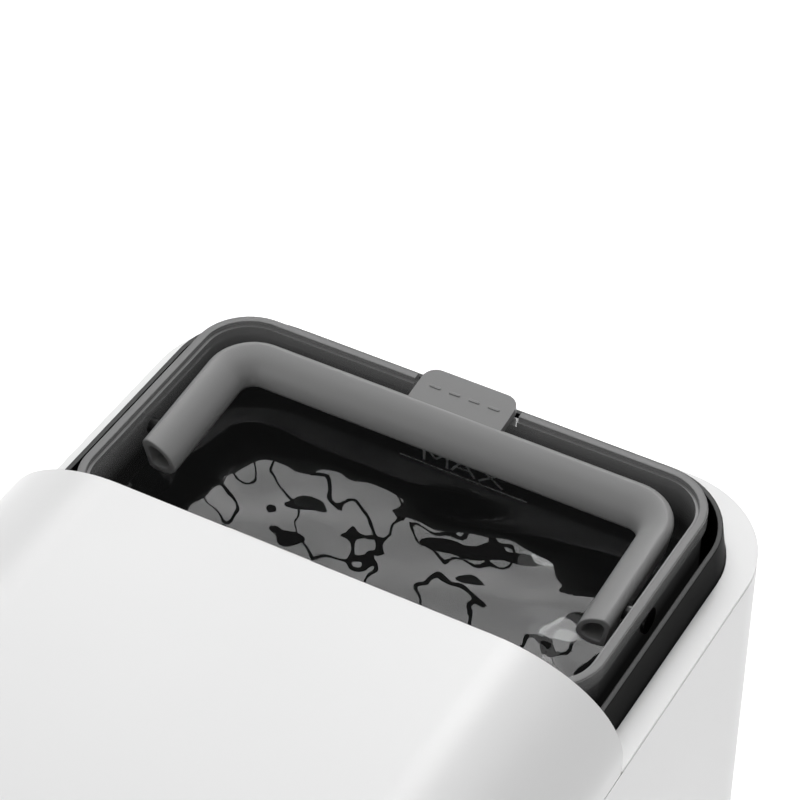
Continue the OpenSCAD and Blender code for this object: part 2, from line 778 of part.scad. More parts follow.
module power_board() color("#1e5b3a") translate([half_w - wall, -20, 330]) {
    for (y = [-36, 36], z = [-26, 26]) rod_x([-3, y, z], 3, 2.5);
    box([-4.6, -40, -30], [-3, 40, 30]);
    box([-18, -34, -22], [-4.6, -12, 6]);
    for (y = [-2, 14]) rod_x([-20, y, -14], 15.4, 6.5);
    for (y = [-4, 10, 24]) box([-16, y - 5, 6], [-4.6, y + 5, 20]);
    box([-12, 24, -22], [-4.6, 34, -2]);
}

module run_capacitor() color("#b4b8bb") translate([60, -112, plate_top + 0.2]) {
    cylinder(h = 62, r = 15);
    for (x = [-6, 6]) translate([x - 0.4, -3, 61]) cube([0.8, 6, 9]);
}

module humidity_sensor() color("#2d6b4a") {
    box([64, 146, 90], [76, 147.6, 112]);
    box([67, 147.6, 98], [73, 150, 104]);
}

module control_board() color("#1e5b3a")
    box([-52, 12 - half_d, panel_z - 12], [52, 13.6 - half_d, panel_z + 12]);

module tact_switches() color("#b7babd") for (x = button_xs) {
    box([x - 3, 10 - half_d, panel_z - 3], [x + 3, 12 - half_d, panel_z + 3]);
    rod_y([x, 8.9 - half_d, panel_z], 1.1, 1.6);
}

module control_panel() color("#121214") difference() {
    union() {
        translate([0, 3 - half_d, panel_z]) rotate([90, 0, 0]) linear_extrude(3)
            rounded_rect(panel_w - 0.5, panel_h - 0.5, panel_h / 2 - 0.26);
        translate([0, wall + 2 - half_d, panel_z]) rotate([90, 0, 0]) linear_extrude(2)
            rounded_rect(panel_w + 4, panel_h + 4, 12);
        for (sx = [-1, 1], sz = [-1, 1])
            rod_y([sx * 12, 4 - half_d, panel_z + sz * 9], 8, 2);
    }
    for (x = button_xs) rod_y([x, -half_d - 1, panel_z], 10, button_r + 0.15);
    box([-lens_w / 2, -half_d - 1, panel_z - lens_h / 2], [lens_w / 2, 1.2 - half_d, panel_z + lens_h / 2]);
}

module display_lens() color("#26282c")
    box([-lens_w / 2, -half_d, panel_z - lens_h / 2], [lens_w / 2, 1.2 - half_d, panel_z + lens_h / 2]);

module push_button(x) color("#d0d2d4") {
    rod_y([x, -half_d, panel_z], 5.2, button_r);
    rod_y([x, 5 - half_d, panel_z], 1, button_r + 1.2);
    rod_y([x, 5.9 - half_d, panel_z], 2.1, 1.6);
}

module power_button() push_button(button_xs[0]);
module fan_button() push_button(button_xs[1]);
module humidity_button() push_button(button_xs[2]);
module timer_button() push_button(button_xs[3]);

// ---- outlet ----

module outlet_frame() color("#2a2c2e") {
    mid = (outlet_z0 + outlet_z1) / 2;
    high = outlet_z1 - outlet_z0;
    difference() {
        union() {
            translate([0, 51 - half_d, mid]) rotate([90, 0, 0]) linear_extrude(51)
                rounded_rect(outlet_w - 0.8, high - 0.8, 4.6);
            translate([0, wall + 2 - half_d, mid]) rotate([90, 0, 0]) linear_extrude(2)
                rounded_rect(outlet_w + 6, high + 6, 6);
        }
        translate([0, 52 - half_d, mid]) rotate([90, 0, 0]) linear_extrude(60)
            rounded_rect(outlet_w - 4.8, high - 4.8, 2);
        rod_x([-100, louver_y, louver_z], 200, 1.6 + run_clear);
    }
    for (i = [-3 : 3])
        box([i * 14 - 0.6, 20 - half_d, outlet_z0 + 2], [i * 14 + 0.6, 44 - half_d, outlet_z1 - 2]);
}

module outlet_louver() color("#ebebeb") {
    box([-52.8, 0.4 - half_d, outlet_z0 + 3.2], [52.8, 2.6 - half_d, outlet_z1 - 3.2]);
    rod_x([-52.8, louver_y, louver_z], 105.6, 2);
    rod_x([-55.4, louver_y, louver_z], 110.8, 1.6);
}

module louver_motor() color("#c8ccd0") {
    face = -(outlet_w - 0.8) / 2;
    rod_x([face - 12, 15 - half_d, louver_z], 12, 8);
    box([face - 2, 15 - half_d - 3, louver_z - 14], [face, 15 - half_d + 3, louver_z + 14]);
    box([face - 12, 20 - half_d, louver_z - 5], [face - 2, 26 - half_d, louver_z + 5]);
}

// ---- fasteners ----

module base_screws() color("#8c8f92") for (p = concat(shell_screws, panel_screws))
    translate([p[0], p[1], foot_h + 2.6]) screw(14);

module cover_screws() color("#8c8f92") {
    for (p = cover_side_screws) translate([p[0], p[1], cover_z - 9.1]) screw(14);
    for (p = cover_rear_screws) translate([p[0], p[1], cover_z - 6.1]) screw(11);
}

base_plate();
rubber_feet();
side_shell();
front_panel();
top_cover();
tank_well();
water_tank();
tank_handle();
handle_pins();
float_body();
float_magnet();
float_pin();
reed_switch();
fill_spout();
intake_grille();
filter_frame();
filter_mesh();
drip_tray();
evaporator_fins();
evaporator_tube();
condenser_fins();
condenser_tube();
coil_frames();
fan_shroud();
fan_impeller();
fan_shaft();
fan_motor();
motor_bracket();
compressor_can();
compressor_stator();
compressor_rotor();
compressor_block();
compressor_mount();
compressor_grommets();
accumulator();
suction_pipe();
discharge_pipe();
capillary_tube();
filter_drier();
run_capacitor();
condensate_pump();
pump_hose();
drain_socket();
power_inlet();
power_board();
control_board();
tact_switches();
humidity_sensor();
control_panel();
display_lens();
power_button();
fan_button();
humidity_button();
timer_button();
outlet_frame();
outlet_louver();
louver_motor();
air_guide();
base_screws();
cover_screws();
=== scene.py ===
import json
import math

import bmesh
import bpy
from mathutils import Matrix, Vector, noise


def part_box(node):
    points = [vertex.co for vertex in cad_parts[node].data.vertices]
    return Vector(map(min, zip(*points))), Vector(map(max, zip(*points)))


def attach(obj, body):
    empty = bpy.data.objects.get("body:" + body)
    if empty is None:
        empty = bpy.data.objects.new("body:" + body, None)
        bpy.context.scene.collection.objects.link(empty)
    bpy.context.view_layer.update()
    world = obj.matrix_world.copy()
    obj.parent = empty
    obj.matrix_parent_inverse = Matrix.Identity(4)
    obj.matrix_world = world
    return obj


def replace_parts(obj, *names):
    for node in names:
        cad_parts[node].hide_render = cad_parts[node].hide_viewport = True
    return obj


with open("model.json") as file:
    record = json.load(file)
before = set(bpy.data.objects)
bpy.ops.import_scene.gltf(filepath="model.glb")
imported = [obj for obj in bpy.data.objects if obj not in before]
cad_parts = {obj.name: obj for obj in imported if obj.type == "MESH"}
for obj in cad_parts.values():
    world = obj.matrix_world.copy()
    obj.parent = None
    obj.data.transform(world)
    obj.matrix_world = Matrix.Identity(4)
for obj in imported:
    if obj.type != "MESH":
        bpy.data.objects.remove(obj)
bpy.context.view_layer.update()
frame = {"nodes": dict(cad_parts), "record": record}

MM = 0.001
SCENE = bpy.context.scene

# ---- sizes in millimetres, from the frame and the few that a node's box doesn't hold ----


def span(node):
    """The low and high corners of a CAD node, in millimetres."""
    low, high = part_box(node)
    return low / MM, high / MM


COVER_LOW, COVER_HIGH = span("top_cover")
WELL_LOW, WELL_HIGH = span("tank_well")
TANK_LOW, TANK_HIGH = span("water_tank")
PIN_LOW, PIN_HIGH = span("handle_pins")
LENS_LOW, LENS_HIGH = span("display_lens")

# the white cover: the hood in front, the ledge round the tank behind
HALF_W = COVER_HIGH.x
REAR_Y = COVER_HIGH.y
FRONT_Y = COVER_LOW.y
TOP_Z = COVER_HIGH.z
LEDGE_Z = TOP_Z - 32
SEAM_GAP = 0.9
COVER_Z = LEDGE_Z - SEAM_GAP
HOOD_Y = REAR_Y - 115.4
FRONT_R = 40
REAR_R = 34.5
SHOULDER_H = 27.6
WALL = 2.6

# the black well and its collar; offsets are outwards from the well's outline
WELL_WALL = 2.6
WELL_TOP = LEDGE_Z - 4
COLLAR_R = 27.4
COLLAR_FOOT = 0.6
COLLAR_LIP = -0.85
COLLAR_WALL = 1.65
MOUTH_GAP = 0.25

# the tank; insets are inwards from its rim's outline, and a notch is (left, right, level)
TANK_R = 17.5
TANK_FLOOR = 2.6
RIM_W = 2.6
RIM_Z = TANK_HIGH.z
TANK_INSET = 1.25
CAVITY_INSET = 3.65
SKIRT_Z = RIM_Z - 5.4
STEP_Z = RIM_Z - 1.5
WATER_Z = LEDGE_Z - 5.5
MARK_Z = WATER_Z - 14.9
TAB_NOTCH = (-17.6, 17.6, RIM_Z - 3.3)
SPOUT_NOTCH = (22.0, 42.0, LEDGE_Z + 5)

# the handle, in its own frame: its origin is on the pivot axis
PIVOT = Vector((0, (PIN_LOW.y + PIN_HIGH.y) / 2, (PIN_LOW.z + PIN_HIGH.z) / 2))
GRIP_W = 11.2
GRIP_OUT_X = 77.5
GRIP_IN_X = GRIP_OUT_X - GRIP_W
GRIP_OUT_Y = REAR_Y - 25.9 - PIVOT.y
GRIP_END_Y = -10.5
GRIP_IN_R = 4
GRIP_TILT = math.radians(5)
BORE_SCALE = 0.62
BORE_DEPTH = 19
TAB_HALF_W = 15.7
TAB_END_Y = REAR_Y - 13.8 - PIVOT.y

# raised signs: how far they start below their surface, and stand proud of it
SIGN_ROOT = -0.1
SIGN_H = 0.12

# ---- mesh helpers: shapes are written in millimetres ----


def piece(name, body, verts, faces, materials, sharp=35, bevel=0.0, segments=2):
    """A mesh piece that rides on a body. Edges over sharp degrees are rounded by bevel."""
    mesh = bpy.data.meshes.new(name)
    mesh.from_pydata([Vector(v) * MM for v in verts], [], faces)
    work = bmesh.new()
    work.from_mesh(mesh)
    bmesh.ops.remove_doubles(work, verts=work.verts, dist=1e-6)
    bmesh.ops.recalc_face_normals(work, faces=work.faces)
    work.to_mesh(mesh)
    work.free()
    for material in materials:
        mesh.materials.append(material)
    mesh.polygons.foreach_set("use_smooth", [True] * len(mesh.polygons))
    obj = bpy.data.objects.new(name, mesh)
    SCENE.collection.objects.link(obj)
    round_edges(obj, bevel, sharp, segments)
    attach(obj, body)
    return obj


def round_edges(obj, width, sharp=35, segments=2):
    """Small radii on the piece's sharp edges, with even shading over its flats."""
    if width:
        bevel = obj.modifiers.new("edge_radius", "BEVEL")
        bevel.width = width * MM
        bevel.segments = segments
        bevel.limit_method = "ANGLE"
        bevel.angle_limit = math.radians(sharp)
        bevel.use_clamp_overlap = True
    else:
        obj.data.set_sharp_from_angle(angle=math.radians(sharp))
    normals = obj.modifiers.new("even_shading", "WEIGHTED_NORMAL")
    normals.keep_sharp = not width


def arc(centre, radius, start, end, steps):
    """Points along an arc, with its angles in degrees."""
    angles = [math.radians(start + (end - start) * i / steps) for i in range(steps + 1)]
    return [(centre[0] + radius * math.cos(a), centre[1] + radius * math.sin(a)) for a in angles]


def rounded_plan(half_w, front_y, rear_y, front_r, rear_r, inset=0.0, steps=12):
    """A round-cornered outline, anticlockwise from its front right corner."""
    front = max(front_r - inset, 0.01)
    rear = max(rear_r - inset, 0.01)
    x0, x1 = half_w - front_r, half_w - rear_r
    y0, y1 = front_y + front_r, rear_y - rear_r
    return (arc((x0, y0), front, -90, 0, steps) + arc((x1, y1), rear, 0, 90, steps)
            + arc((-x1, y1), rear, 90, 180, steps) + arc((-x0, y0), front, 180, 270, steps))


def lift(outline, z):
    """A flat outline at a height."""
    return [(x, y, z) for x, y in outline]


class Solid:
    """Collects the points and faces of one piece."""

    def __init__(self):
        self.verts = []
        self.faces = []

    def loft(self, rings, cap_start=False, cap_end=False, closed=True):
        """Skins a row of rings that have equal point counts."""
        base = len(self.verts)
        count = len(rings[0])
        for ring in rings:
            self.verts += ring
        last = count if closed else count - 1
        for r in range(len(rings) - 1):
            for i in range(last):
                j = (i + 1) % count
                a, b = base + r * count, base + (r + 1) * count
                self.faces.append((a + i, a + j, b + j, b + i))
        if cap_start:
            self.faces.append(tuple(base + i for i in range(count)))
        if cap_end:
            end = base + (len(rings) - 1) * count
            self.faces.append(tuple(end + i for i in range(count)))
        return self

    def prism(self, outline, low, high, place=lambda u, v, w: (u, v, w)):
        """An outline in (u, v) raised from low to high along w, then placed."""
        rings = [[place(u, v, w) for u, v in outline] for w in (low, high)]
        return self.loft(rings, cap_start=True, cap_end=True)

    def ribbon(self, line, width, low, high, place):
        """A stroke of even width along a line of (u, v) points."""
        half = width / 2
        left, right = [], []
        for i, (u, v) in enumerate(line):
            before = line[max(i - 1, 0)]
            after = line[min(i + 1, len(line) - 1)]
            du, dv = after[0] - before[0], after[1] - before[1]
            size = math.hypot(du, dv) or 1.0
            left.append((u - dv / size * half, v + du / size * half))
            right.append((u + dv / size * half, v - du / size * half))
        rings = []
        for (a, b), (c, d) in zip(left, right):
            rings.append([place(a, b, low), place(c, d, low), place(c, d, high), place(a, b, high)])
        return self.loft(rings, cap_start=True, cap_end=True)


# ---- materials ----


def material(name):
    """An empty node material: its tree, its shader and the piece's own coordinates."""
    made = bpy.data.materials.new(name)
    made.use_nodes = True
    tree = made.node_tree
    shader = tree.nodes["Principled BSDF"]
    coordinates = tree.nodes.new("ShaderNodeTexCoord").outputs["Object"]
    return made, tree, shader, coordinates


def textured(tree, coordinates, kind, scale, stretch=(1, 1, 1), **settings):
    """A texture node at a scale in cycles per metre, stretched along the axes."""
    mapping = tree.nodes.new("ShaderNodeMapping")
    mapping.inputs["Scale"].default_value = stretch
    tree.links.new(coordinates, mapping.inputs["Vector"])
    texture = tree.nodes.new(kind)
    texture.inputs["Scale"].default_value = scale
    for key, value in settings.items():
        texture.inputs[key].default_value = value
    tree.links.new(mapping.outputs["Vector"], texture.inputs["Vector"])
    return texture.outputs[0]


def spread(tree, value, low, high):
    """A 0 to 1 value spread over a range."""
    ranged = tree.nodes.new("ShaderNodeMapRange")
    ranged.inputs["To Min"].default_value = low
    ranged.inputs["To Max"].default_value = high
    tree.links.new(value, ranged.inputs["Value"])
    return ranged.outputs["Result"]


def mottle(tree, shader, value, colour, amount):
    """The base colour, a little darker and lighter from place to place."""
    mix = tree.nodes.new("ShaderNodeMix")
    mix.data_type = "RGBA"
    mix.inputs["A"].default_value = [c * (1 - amount) for c in colour] + [1]
    mix.inputs["B"].default_value = [min(c * (1 + amount), 1) for c in colour] + [1]
    tree.links.new(value, mix.inputs["Factor"])
    tree.links.new(mix.outputs["Result"], shader.inputs["Base Color"])


def bumped(tree, shader, value, depth, strength=1.0):
    """Relief of a depth in millimetres."""
    bump = tree.nodes.new("ShaderNodeBump")
    bump.inputs["Distance"].default_value = depth * MM
    bump.inputs["Strength"].default_value = strength
    tree.links.new(value, bump.inputs["Height"])
    tree.links.new(bump.outputs["Normal"], shader.inputs["Normal"])


def moulded(name, colour, roughness, grain=0.02, grain_size=0.5, mottling=0.015, gloss=0.5, coat=0.0):
    """Moulded plastic or paint with a fine etched grain."""
    made, tree, shader, xyz = material(name)
    fine = textured(tree, xyz, "ShaderNodeTexNoise", 1000 / grain_size, Detail=3.0)
    cloud = textured(tree, xyz, "ShaderNodeTexNoise", 22.0, Detail=4.0)
    mottle(tree, shader, cloud, colour, mottling)
    tree.links.new(spread(tree, cloud, roughness - 0.05, roughness + 0.05), shader.inputs["Roughness"])
    bumped(tree, shader, fine, grain)
    shader.inputs["Specular IOR Level"].default_value = gloss
    shader.inputs["Coat Weight"].default_value = coat
    return made


def metal(name, colour, roughness, stretch=(1, 1, 1), scratch=0.006, scale=900.0, mottling=0.06):
    """Bare metal with drawn or brushed lines along the axis that stretch shortens."""
    made, tree, shader, xyz = material(name)
    lines = textured(tree, xyz, "ShaderNodeTexNoise", scale, stretch, Detail=5.0)
    cloud = textured(tree, xyz, "ShaderNodeTexNoise", 60.0, Detail=5.0)
    mottle(tree, shader, cloud, colour, mottling)
    tree.links.new(spread(tree, lines, roughness - 0.1, roughness + 0.12), shader.inputs["Roughness"])
    bumped(tree, shader, lines, scratch)
    shader.inputs["Metallic"].default_value = 1.0
    return made


PAINTED_GLOW = 0.1  # the share of the smoked tint painted on as a glow: painted light


def smoked(name, deep, upper, roughness):
    """Tinted plastic, dark inside the machine and paler towards its rim: painted shade low down, painted
    light near the rim. A faint glow, also painted light, stands in for light that scatters inside the
    plastic."""
    made, tree, shader, xyz = material(name)
    flow = textured(tree, xyz, "ShaderNodeTexNoise", 90.0, Detail=2.0)
    bumped(tree, shader, flow, 0.05, 0.6)
    place = tree.nodes.new("ShaderNodeSeparateXYZ")
    tree.links.new(xyz, place.inputs["Vector"])
    # mask of the painted light: painted shade low in the tank, rising to painted light near the rim
    height = tree.nodes.new("ShaderNodeMapRange")
    height.inputs["From Min"].default_value = (LEDGE_Z + 2) * MM
    height.inputs["From Max"].default_value = (RIM_Z - 4) * MM
    tree.links.new(place.outputs["Z"], height.inputs["Value"])
    # the base colour and the painted glow both follow that mask
    for socket, amount in (("Base Color", 1.0), ("Emission Color", PAINTED_GLOW)):
        mix = tree.nodes.new("ShaderNodeMix")
        mix.data_type = "RGBA"
        mix.inputs["A"].default_value = [c * amount for c in deep] + [1]
        mix.inputs["B"].default_value = [c * amount for c in upper] + [1]
        tree.links.new(height.outputs["Result"], mix.inputs["Factor"])
        tree.links.new(mix.outputs["Result"], shader.inputs[socket])
    shader.inputs["Emission Strength"].default_value = 1.0
    shader.inputs["Roughness"].default_value = roughness
    shader.inputs["IOR"].default_value = 1.49
    shader.inputs["Transmission Weight"].default_value = 0.6
    return made


def circuit(name):
    """Green solder mask over a grid of tracks, glossier in some cells than in others."""
    made, tree, shader, xyz = material(name)
    tracks = textured(tree, xyz, "ShaderNodeTexBrick", 160.0)
    cloud = textured(tree, xyz, "ShaderNodeTexVoronoi", 260.0)
    mix = tree.nodes.new("ShaderNodeMix")
    mix.data_type = "RGBA"
    mix.inputs["A"].default_value = (0.012, 0.11, 0.05, 1)
    mix.inputs["B"].default_value = (0.03, 0.20, 0.09, 1)
    tree.links.new(tracks, mix.inputs["Factor"])
    tree.links.new(mix.outputs["Result"], shader.inputs["Base Color"])
    tree.links.new(spread(tree, cloud, 0.25, 0.5), shader.inputs["Roughness"])
    bumped(tree, shader, tracks, 0.05)
    return made


def woven(name, colour, pitch):
    """A plain weave of round threads."""
    made, tree, shader, xyz = material(name)
    across = textured(tree, xyz, "ShaderNodeTexWave", 500 / pitch, (1, 0, 0))
    along = textured(tree, xyz, "ShaderNodeTexWave", 500 / pitch, (0, 0, 1))
    both = tree.nodes.new("ShaderNodeMath")
    both.operation = "MAXIMUM"
    tree.links.new(across, both.inputs[0])
    tree.links.new(along, both.inputs[1])
    mottle(tree, shader, both.outputs["Value"], colour, 0.35)
    bumped(tree, shader, both.outputs["Value"], 0.25)
    shader.inputs["Roughness"].default_value = 0.8
    shader.inputs["Sheen Weight"].default_value = 0.3
    return made


def glowing(name, colour, strength):
    """A lit segment."""
    made, tree, shader, xyz = material(name)
    cloud = textured(tree, xyz, "ShaderNodeTexNoise", 400.0, Detail=2.0)
    mottle(tree, shader, cloud, colour, 0.05)
    shader.inputs["Roughness"].default_value = 0.3
    shader.inputs["Emission Color"].default_value = [*colour, 1]
    shader.inputs["Emission Strength"].default_value = strength
    return made


def water_surface(name):
    """Clear water with fine relief."""
    made, tree, shader, xyz = material(name)
    flow = textured(tree, xyz, "ShaderNodeTexNoise", 70.0, Detail=2.0)
    mottle(tree, shader, flow, (0.90, 0.93, 0.94), 0.02)
    bumped(tree, shader, flow, 0.06, 0.5)
    shader.inputs["Roughness"].default_value = 0.0
    shader.inputs["IOR"].default_value = 1.333
    shader.inputs["Transmission Weight"].default_value = 1.0
    return made


WHITE = (0.80, 0.80, 0.80)
LOOKS = {
    "white_moulding": moulded("white_moulding", WHITE, 0.33, grain=0.008, mottling=0.006, gloss=0.5),
    "grille_white": moulded("grille_white", (0.77, 0.77, 0.77), 0.45, grain=0.012),
    "louver_white": moulded("louver_white", (0.79, 0.79, 0.79), 0.42, grain=0.012),
    "black_liner": moulded("black_liner", (0.003, 0.003, 0.003), 0.44, grain=0.02, gloss=0.04),
    "smoked_plastic": smoked("smoked_plastic", (0.03, 0.03, 0.03), (0.23, 0.23, 0.23), 0.12),
    "grey_grip": moulded("grey_grip", (0.28, 0.28, 0.28), 0.40, grain=0.008, gloss=0.25),
    "dark_plastic": moulded("dark_plastic", (0.022, 0.022, 0.024), 0.5, grain=0.03),
    "gloss_black": moulded("gloss_black", (0.008, 0.008, 0.009), 0.12, grain=0.002, coat=0.5),
    "display_window": moulded("display_window", (0.006, 0.007, 0.009), 0.08, grain=0.001, coat=0.6),
    "button_cap": moulded("button_cap", (0.52, 0.53, 0.54), 0.35, grain=0.008),
    "rubber": moulded("rubber", (0.018, 0.018, 0.018), 0.75, grain=0.06, grain_size=0.8, gloss=0.3),
    "float_plastic": moulded("float_plastic", (0.66, 0.66, 0.63), 0.5),
    "filter_plastic": moulded("filter_plastic", (0.05, 0.055, 0.06), 0.5),
    "tray_plastic": moulded("tray_plastic", (0.09, 0.095, 0.10), 0.55, grain=0.04),
    "fan_plastic": moulded("fan_plastic", (0.55, 0.56, 0.57), 0.4),
    "pump_plastic": moulded("pump_plastic", (0.60, 0.61, 0.62), 0.4),
    "clear_hose": moulded("clear_hose", (0.62, 0.66, 0.68), 0.3, grain=0.01),
    "black_painted": moulded("black_painted", (0.012, 0.012, 0.012), 0.28, grain=0.05, grain_size=1.5,
                             coat=0.3),
    "magnet": metal("magnet", (0.45, 0.46, 0.48), 0.3),
    "steel": metal("steel", (0.56, 0.57, 0.58), 0.3, (1, 1, 0.05)),
    "zinc_steel": metal("zinc_steel", (0.50, 0.52, 0.54), 0.38, scale=200.0, mottling=0.15),
    "fin_aluminium": metal("fin_aluminium", (0.82, 0.83, 0.84), 0.3, (1, 1, 0.08)),
    "capacitor_can": metal("capacitor_can", (0.75, 0.76, 0.78), 0.32, (1, 1, 0.05)),
    "copper": metal("copper", (0.80, 0.38, 0.22), 0.3, scale=300.0, mottling=0.12),
    "winding": metal("winding", (0.55, 0.24, 0.08), 0.35, (0.05, 0.05, 1)),
    "iron": metal("iron", (0.28, 0.28, 0.29), 0.5, scale=700.0),
    "circuit_board": circuit("circuit_board"),
    "filter_net": woven("filter_net", (0.10, 0.11, 0.12), 1.1),
}
# the tank rim's top: a paler opaque grey, painted light where light falls on the smoked rim
RIM_PAINTED_LIGHT = moulded("rim_painted_light", (0.145, 0.145, 0.145), 0.4, grain=0.006, gloss=0.4)
# the collar lip's top: a lighter copy of the black liner, painted light where light falls on it
LIP_PAINTED_LIGHT = moulded("lip_painted_light", (0.035, 0.035, 0.035), 0.4, grain=0.01, gloss=0.2)
# a darker copy of the grip's grey for the tab, painted shade against the light on its flat top
TAB_PAINTED_SHADE = moulded("tab_painted_shade", (0.215, 0.215, 0.215), 0.40, grain=0.008, gloss=0.25)
# the flat of the tank's inner step: a brighter grey, painted highlight for the thin light line along it
STEP_PAINTED_HIGHLIGHT = moulded("step_painted_highlight", (0.20, 0.20, 0.20), 0.4, grain=0.006, gloss=0.4)
MARK_GREY = moulded("mark_grey", (0.60, 0.60, 0.60), 0.4, grain=0.004)
ICON_DARK = moulded("icon_dark", (0.05, 0.05, 0.055), 0.4, grain=0.004)
DIGIT_GLOW = glowing("digit_glow", (0.75, 0.92, 1.0), 2.2)
WATER = water_surface("clear_water")


# rounding of the CAD nodes' edges, in millimetres; PLAIN_EDGE for those not named
PLAIN_EDGE = 0.25
EDGE_RADII = {
    "side_shell": 0.35, "front_panel": 0.35, "tank_well": 0.6, "rubber_feet": 0.6, "base_plate": 0.4,
    "intake_grille": 0.2, "filter_mesh": 0.0, "evaporator_fins": 0.0, "condenser_fins": 0.0,
    "outlet_frame": 0.3, "outlet_louver": 0.5, "power_button": 0.5, "fan_button": 0.5,
    "humidity_button": 0.5, "timer_button": 0.5, "control_panel": 0.3, "air_guide": 0.0,
}


def dress_frame():
    """Every CAD node takes its slot's material and rounded edges."""
    slots = {entry["node"]: entry["material_slot"] for entry in frame["record"]["subparts"]}
    for name, node in frame["nodes"].items():
        for material_slot in node.material_slots:
            material_slot.material = LOOKS[slots[name]]
        weld = node.modifiers.new("weld", "WELD")
        weld.merge_threshold = 0.002 * MM
        round_edges(node, EDGE_RADII.get(name, PLAIN_EDGE), sharp=40)


# ---- top cover ----


def hood_ring(inset, angle, rear_y):
    """The hood's outline at one level of its rounded shoulders."""
    r = (FRONT_R - inset) * math.cos(angle)
    z = TOP_Z - SHOULDER_H + (SHOULDER_H - inset) * math.sin(angle)
    x, y = HALF_W - FRONT_R, FRONT_Y + FRONT_R
    outline = arc((x, y), r, -90, 0, 16) + [(x + r, rear_y), (-x - r, rear_y)] + arc((-x, y), r, 180, 270, 16)
    return lift(outline, z)


def top_cover():
    """Hood and ledge, one white moulding."""
    steps = 22
    angles = [math.radians(90 * i / steps) for i in range(steps + 1)]
    solid = Solid()
    outer = [hood_ring(0, a, HOOD_Y) for a in angles]
    inner = [hood_ring(WALL, a, HOOD_Y - WALL) for a in angles]
    outer.insert(0, [(x, y, COVER_Z) for x, y, _ in outer[0]])
    inner.insert(0, [(x, y, COVER_Z) for x, y, _ in inner[0]])
    solid.loft(list(reversed(inner)) + outer, cap_start=True, cap_end=True)

    def bay(inset, r):
        """The open rear part's outline, as a row of points round from right to left."""
        x, y = HALF_W - REAR_R, REAR_Y - REAR_R
        w = HALF_W - inset
        return ([(w, HOOD_Y - 1)] + arc((x, y), r - inset, 0, 90, 16) + arc((-x, y), r - inset, 90, 180, 16)
                + [(-w, HOOD_Y - 1)])

    mouth = collar_outline(COLLAR_FOOT + MOUTH_GAP, HOOD_Y - 1)
    edge, step = bay(0, REAR_R), bay(WALL + 0.4, REAR_R)
    rings = []
    for e, s, m in zip(edge, step, mouth):
        rings.append([(*e, LEDGE_Z), (*m, LEDGE_Z), (*m, COVER_LOW.z), (*s, COVER_LOW.z), (*s, COVER_Z),
                      (*e, COVER_Z)])
    solid.loft(rings, cap_start=True, cap_end=True)
    return piece("top_cover_shell", "housing", solid.verts, solid.faces,
                 [LOOKS["white_moulding"]], bevel=0.45, segments=3)


# ---- well ----


def collar_outline(offset, front_y):
    """The collar's open outline, from its right front end round the rear to its left front end."""
    cx, cy, r = WELL_HIGH.x - COLLAR_R, WELL_HIGH.y - COLLAR_R, COLLAR_R + offset
    return ([(cx + r, front_y)] + arc((cx, cy), r, 0, 90, 16) + arc((-cx, cy), r, 90, 180, 16)
            + [(-cx - r, front_y)])


def tank_well():
    """The black well: a deep tub, with a collar round three sides that leans in to a thin lip."""
    front_r, rear_r = 5.0, COLLAR_R
    wall, floor = WELL_WALL, WELL_LOW.z + WELL_WALL
    top = WELL_HIGH.z
    solid = Solid()

    def ring(inset, z):
        plan = rounded_plan(WELL_HIGH.x, WELL_LOW.y, WELL_HIGH.y, front_r + 3, rear_r, inset, 16)
        return lift(plan, z)

    solid.loft([ring(1.5, WELL_LOW.z), ring(0, WELL_LOW.z + 1.5), ring(0, WELL_TOP), ring(wall, WELL_TOP),
                ring(wall, floor + 2), ring(wall + 2, floor)], cap_start=True, cap_end=True)
    front = HOOD_Y + 0.4
    seams = [(COLLAR_FOOT - 0.5, WELL_TOP - 1), (COLLAR_FOOT, LEDGE_Z - 0.6), (COLLAR_FOOT, LEDGE_Z),
             (COLLAR_LIP, top), (COLLAR_LIP - COLLAR_WALL, top), (COLLAR_LIP - COLLAR_WALL - 0.1, top - 2.4),
             (-wall, WELL_TOP - 1)]
    rows = [lift(collar_outline(offset, front), z) for offset, z in seams]
    solid.loft([list(ring) for ring in zip(*rows)], cap_start=True, cap_end=True)
    obj = piece("well_shell", "housing", solid.verts, solid.faces,
                [LOOKS["black_liner"], LIP_PAINTED_LIGHT], bevel=0.3)
    # the lip's top faces take painted light
    for face in obj.data.polygons:
        if face.center.z / MM > top - 0.1:
            face.material_index = 1
    return obj


# ---- tank ----


def tank_ring_points(inset):
    """The tank's outline at one inset, as (point, the level its wall is cut down to), with a pair of
    points at each end of the two notches: the tab's at the rear and the spout's in front."""
    steps = 14
    plan = rounded_plan(TANK_HIGH.x, TANK_LOW.y, TANK_HIGH.y, TANK_R, TANK_R, inset, steps)
    half = 2 * (steps + 1)
    full = math.inf
    left, right, level = TAB_NOTCH
    y = TANK_HIGH.y - inset
    points = [(p, full) for p in plan[:half]]
    points += [((right, y), full), ((right, y), level), ((left, y), level), ((left, y), full)]
    points += [(p, full) for p in plan[half:]]
    left, right, level = SPOUT_NOTCH
    y = TANK_LOW.y + inset
    points += [((left, y), full), ((left, y), level), ((right, y), level), ((right, y), full)]
    return points


